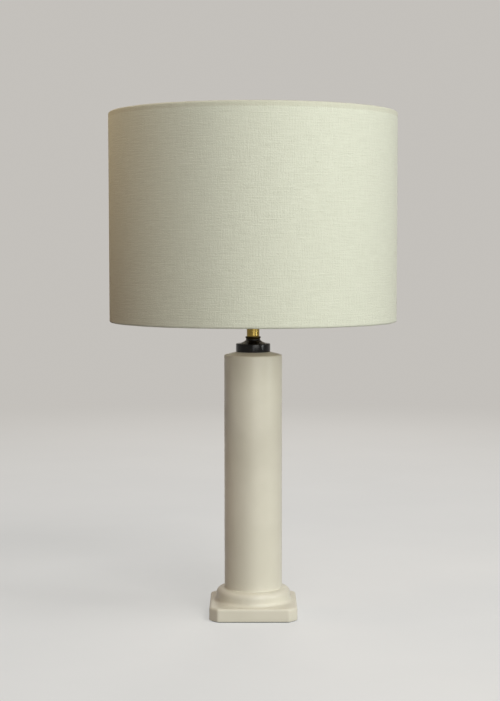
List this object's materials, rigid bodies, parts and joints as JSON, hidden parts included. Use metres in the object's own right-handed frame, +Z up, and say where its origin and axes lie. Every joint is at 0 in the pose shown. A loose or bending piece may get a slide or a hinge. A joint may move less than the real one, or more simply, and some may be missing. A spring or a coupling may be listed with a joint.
{
  "type": "column table lamp",
  "caption": "Table lamp: round ceramic column on a square plinth, black cap, brass lampholder with push switch and a linen drum shade.",
  "frame": {"origin": "on the table, under the middle of the felt pad", "axes": "+Z up along the column's axis, -Y to the front as pictured, +Y to the back where the cord inlet is, +X to the lamp's right as seen from the front"},
  "size_m": [0.35, 0.35, 0.6139],
  "materials": {
    "ceramic": "satin off-white glaze",
    "black_metal": "semi-gloss black lacquer",
    "dark_brass": "dark aged brass",
    "brass": "satin lacquered brass",
    "zinc_steel": "zinc plated",
    "felt": "pressed wool felt",
    "grommet_plastic": "matt black",
    "porcelain": "unglazed white porcelain",
    "contact_bronze": "phosphor bronze",
    "opal_glass": "opal white inside, smooth outside",
    "bulb_metal": "bright",
    "bulb_black_glass": "glossy black",
    "solder": "dull solder",
    "wire_white": "white coated wire",
    "linen": "natural slubbed linen",
    "liner": "matt white lining"
  },
  "bodies": {
    "root": {"felt_pad": "felt", "column_body": "ceramic", "clamp_plate": "zinc_steel", "bottom_washer": "zinc_steel", "bottom_nut": "zinc_steel", "threaded_rod": "zinc_steel", "cable_grommet": "grommet_plastic", "column_cap": "black_metal", "stem_collar": "dark_brass", "brass_stem": "brass", "holder_cup": "brass", "holder_lock_nut": "zinc_steel", "holder_grub_screw": "zinc_steel", "holder_insulator": "porcelain", "terminal_screws": "brass", "screw_shell": "brass", "centre_contact": "contact_bronze", "holder_skirt": "brass", "shade_ring_lower": "brass", "shade_ring_upper": "brass"},
    "shade": {"shade_linen": "linen", "shade_liner": "liner", "shade_top_ring": "wire_white", "shade_bottom_ring": "wire_white", "carrier_arms": "wire_white", "carrier_ring": "wire_white"},
    "bulb": {"bulb_glass": "opal_glass", "bulb_base": "bulb_metal", "bulb_insulator": "bulb_black_glass", "bulb_tip": "solder"},
    "switch": {"switch_bar": "brass", "switch_knobs": "brass"}
  },
  "joints": [
    {"name": "shade_turn", "type": "hinge", "parent": "root", "child": "shade", "pos_m": [0, 0, 0.391], "axis": [0, 0, 1], "continuous": true},
    {"name": "bulb_unscrew", "type": "slide", "parent": "root", "child": "bulb", "axis": [0, 0, 1], "range_m": [0, 0.018]},
    {"name": "switch_push", "type": "slide", "parent": "root", "child": "switch", "axis": [1, 0, 0], "range_m": [0, 0.005]}
  ]
}
